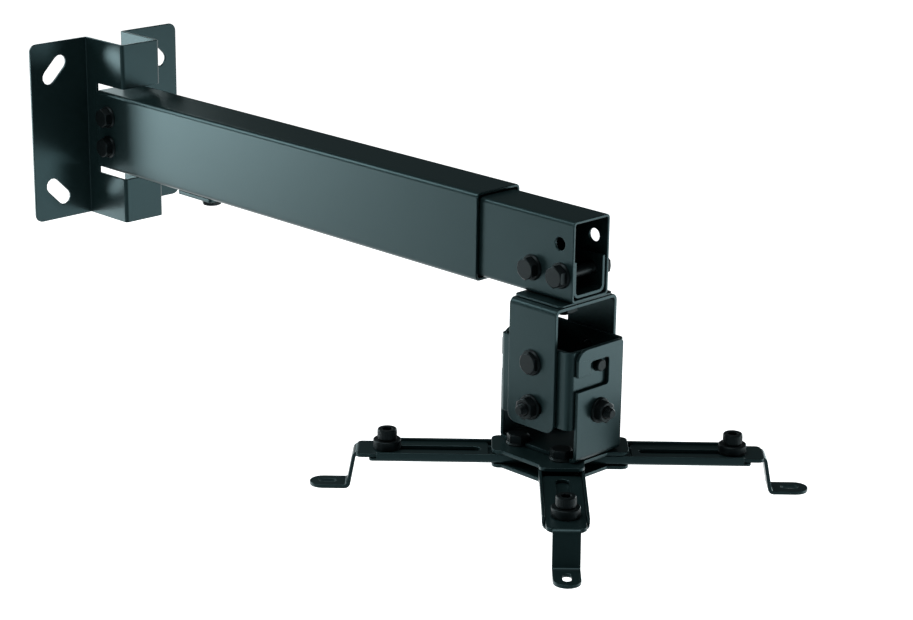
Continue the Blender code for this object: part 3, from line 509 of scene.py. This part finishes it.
def extent(node, direction):
    """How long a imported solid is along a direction."""
    low, high = (Vector(corner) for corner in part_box(node))
    return abs(Vector(direction).dot(high - low))


print("length of a wall bolt:", round(extent("wall_bolt_upper", (0, 1, 0)) / MM, 1), "mm")

# %% [markdown]
# ## Bolts and nuts
# Most bolts are M8, and the one that the head swivels on is M10. A coarse thread is 1.25 or
# 1.5 mm a turn, and it starts where the plain shank ends. Heads have a 30 degree chamfer, and a
# flange slopes a little to its rim. Each profile is a short list of rings, because a real one
# is a short list of cuts on a lathe.

# %% Sizes of the threads and the hexagon chamfer
M8, M8_PITCH, M8_FLATS, M8_FLANGE = 8 * MM, 1.25 * MM, 13 * MM, 17 * MM
M10, M10_PITCH, M10_FLATS, M10_FLANGE = 10 * MM, 1.5 * MM, 16 * MM, 19.2 * MM
THREAD_DEPTH = 0.61          # as a share of the pitch
FLANGE_T = 1.6 * MM
HEAD_H = 5.3 * MM            # of an M8 hexagon head, without its flange
CHAMFER_STEPS = 4


def hex_rings(low, high, flats):
    """The rings of a hexagon that rises from low to high and is chamfered at high."""
    corner = flats / math.sqrt(3)
    face = flats / 2 * 0.95
    drop = (corner - face) * math.tan(math.radians(30))
    rings = [(low, None, flats)]
    for i in range(CHAMFER_STEPS + 1):
        t = i / CHAMFER_STEPS
        rings.append((high - drop * (1 - t), corner + (face - corner) * t, flats))
    return rings


print("thread depth of M8:", round(THREAD_DEPTH * M8_PITCH / MM, 2), "mm")

# %% [markdown]
# ## A bolt and a nut
# A flanged bolt is one piece: a hexagon head, a flange, a plain shank and a thread that ends
# in a small cone. One list of rings runs from the top of the head to the tip, and the thread is
# laid round its core. A nut is closed round its bore instead, so the bolt's thread shows in it.

# %% Profiles of a bolt and a nut
def bolt_mesh(size, pitch, length, flats, head, flange, threaded):
    """A hexagon bolt drawn head down: head, flange, shank and thread."""
    radius, depth, rim = size / 2, THREAD_DEPTH * pitch, FLANGE_T
    top = head + rim
    rings = [(top - z, r, f) for z, r, f in reversed(hex_rings(rim, top, flats))]
    edge = flange / 2
    rings += [
        (top - rim, edge - 0.5 * rim, None), (top - 0.45 * rim, edge - 0.1 * rim, None),
        (top - 0.3 * rim, edge, None), (top, edge, None), (top, radius, None),
    ]
    start = length - threaded
    tip = length - pitch * 0.6
    core = radius - depth
    rings += [(start - 0.3 * MM, radius, None), (start, core, None), (tip, core, None),
              (length, core - 0.5 * pitch, None)]
    turns = (tip - start) / pitch
    thread = ridges(radius, depth, start, tip - start, 1, turns, black_zinc)
    return merged([turned(rings), thread])


def nut_mesh(size, flats, height, flange):
    """A flanged nut drawn up +Z, with a countersunk bore."""
    radius, rim = size / 2 + 0.03 * MM, FLANGE_T
    rings = [
        (0, radius, None), (0, flange / 2, None), (0.5 * rim, flange / 2, None),
        (0.7 * rim, flange / 2 - 0.1 * rim, None), (rim, flange / 2 - 0.5 * rim, None),
    ]
    rings += hex_rings(rim, height, flats)
    rings += [(height, radius + 0.6 * MM, None), (height - 0.6 * MM, radius, None)]
    return turned(rings, closed=True)


print("width over a nut's corners:", round(M8_FLATS / math.cos(math.pi / 6) / MM, 1), "mm")

# %% [markdown]
# ## Every bolt and nut in its place
# A table says for each bolt which way its shaft points, its kind, and its head height, flange
# diameter and thread length in millimetres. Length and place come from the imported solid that
# the new mesh stands for, so a fastener can't drift from its hole.

# %% Make every bolt
SIDES = ("left", "right", "front", "back")
SMALL = (M8, M8_PITCH, M8_FLATS)
LARGE = (M10, M10_PITCH, M10_FLATS)
OUT, IN, FAR, NEAR, UP, DOWN = (
    (1, 0, 0), (-1, 0, 0), (0, 1, 0), (0, -1, 0), (0, 0, 1), (0, 0, -1)
)
BOLTS = {
    "wall_bolt_upper": (FAR, SMALL, 5.3, 17, 18),
    "wall_bolt_lower": (FAR, SMALL, 5.3, 17, 18),
    "end_bolt_rear": (FAR, SMALL, 5.3, 17, 18),
    "end_bolt_front": (FAR, SMALL, 5.3, 17, 18),
    "clamp_bolt": (UP, SMALL, 5.3, 17, 12),
    "swivel_bolt": (DOWN, LARGE, 6.4, 19.2, 14),
    "tilt_pivot_near": (FAR, SMALL, 2.4, 17, 5),
    "tilt_pivot_far": (NEAR, SMALL, 2.4, 17, 5),
    "tilt_bolt_near": (NEAR, SMALL, 5.3, 13, 17),
    "tilt_bolt_far": (FAR, SMALL, 5.3, 13, 17),
    "roll_bolt_rear": (IN, SMALL, 5.3, 13, 17),
    "roll_bolt_front": (OUT, SMALL, 5.3, 13, 17),
}
for side in SIDES:
    BOLTS["hub_bolt_" + side] = (DOWN, SMALL, 5.3, 15.6, 10)
for node, (way, (bolt_size, pitch, flats), head, flange, threaded) in BOLTS.items():
    mesh = bolt_mesh(
        bolt_size, pitch, extent(node, way), flats, head * MM, flange * MM, threaded * MM
    )
    stands_for(node, way, mesh, black_zinc)
print("bolts:", len(BOLTS))

# %% [markdown]
# ## Nuts
# All nuts but one are M8, and they are the same piece turned to face other ways. So one
# function draws them from the same sizes as the bolts, and a table only says which way each
# one faces.

# %% Make every nut
NUTS = {
    "wall_nut_upper": FAR, "wall_nut_lower": FAR, "end_nut_rear": FAR, "end_nut_front": FAR,
    "clamp_nut": UP, "tilt_nut_near": NEAR, "tilt_nut_far": FAR, "roll_nut_rear": IN,
    "roll_nut_front": OUT,
}
for node, way in NUTS.items():
    mesh = nut_mesh(M8, M8_FLATS, extent(node, way), M8_FLANGE)
    stands_for(node, way, mesh, black_zinc)
large_nut = nut_mesh(M10, M10_FLATS, extent("swivel_nut", DOWN), M10_FLANGE)
stands_for("swivel_nut", DOWN, large_nut, black_zinc)
print("nuts:", len(NUTS) + 1)

# %% [markdown]
# ## Screws and collars of the arms
# Each leg is held by a socket-head screw on a collar. The head's side is knurled, so that it can
# be run in with the fingers, and its rims are turned off. The knurl comes from the same node
# group as the threads. The cradle hangs on two plain pins with hexagon heads.

# %% Profiles of the screw, the collar and the pin
CAP_D, CAP_H, CAP_FLATS = 13 * MM, 6.8 * MM, 6 * MM
KNURLS, KNURL_DEPTH = 36, 0.3 * MM
COLLAR_D, COLLAR_BORE = 18.4 * MM, 8.6 * MM


def cap_screw_mesh(length, head_d, head_h, flats):
    """A knurled socket-head screw drawn head down, with a hexagon socket."""
    rim, radius = 0.5 * MM, M8 / 2
    depth = THREAD_DEPTH * M8_PITCH
    core = radius - depth
    start, tip = head_h + 2 * MM, length - 0.8 * MM
    rings = [
        (4 * MM, None, flats), (0.35 * MM, None, flats), (0, None, flats + 0.5 * MM),
        (0, head_d / 2 - rim, None), (rim, head_d / 2 - 0.15 * MM, None),
        (head_h - rim, head_d / 2 - 0.15 * MM, None), (head_h, head_d / 2 - rim, None),
        (head_h, radius, None), (start, radius, None), (start, core, None), (tip, core, None),
        (length, core - 0.6 * MM, None),
    ]
    knurl = ridges(head_d / 2, KNURL_DEPTH, rim, head_h - 2 * rim, KNURLS, 0, black_zinc)
    turns = (tip - start) / M8_PITCH
    thread = ridges(radius, depth, start, tip - start, 1, turns, black_zinc)
    return merged([turned(rings), knurl, thread])


def collar_mesh(height, outer, bore):
    """A ring with small chamfers."""
    edge = 0.4 * MM
    return turned([
        (0, bore / 2, None), (0, outer / 2 - edge, None), (edge, outer / 2, None),
        (height - edge, outer / 2, None), (height, outer / 2 - edge, None),
        (height, bore / 2, None),
    ], closed=True)


def pin_mesh(length, size, flats, head, rim):
    """A plain pin with a hexagon head and a chamfered end."""
    top = head + rim
    rings = [(top - z, r, f) for z, r, f in reversed(hex_rings(rim, top, flats))]
    rings += [
        (top - rim, flats / 2, None), (top, flats / 2, None), (top, size / 2, None),
        (length - 0.6 * MM, size / 2, None), (length, size / 2 - 0.6 * MM, None),
    ]
    return turned(rings)


print("knurl pitch:", round(math.pi * CAP_D / KNURLS / MM, 2), "mm")

# %% [markdown]
# ## Four of each, and two pins
# The four arms carry the same screw and collar, so a loop over the arms' names makes them, and
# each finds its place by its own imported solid. The pins point away from the block, one to each
# end.

# %% Make the screws, the collars and the pins
for side in SIDES:
    node = "leg_screw_" + side
    screw = cap_screw_mesh(extent(node, DOWN), CAP_D, CAP_H, CAP_FLATS)
    stands_for(node, DOWN, screw, black_zinc)
    node = "leg_collar_" + side
    collar = collar_mesh(extent(node, UP), COLLAR_D, COLLAR_BORE)
    stands_for(node, UP, collar, black_zinc)
for node, way in (("hook_pin_rear", IN), ("hook_pin_front", OUT)):
    pin = pin_mesh(extent(node, way), M8, M8_FLATS, HEAD_H, FLANGE_T)
    stands_for(node, way, pin, black_zinc)
print("leg screws: 4, collars: 4, hook pins: 2")
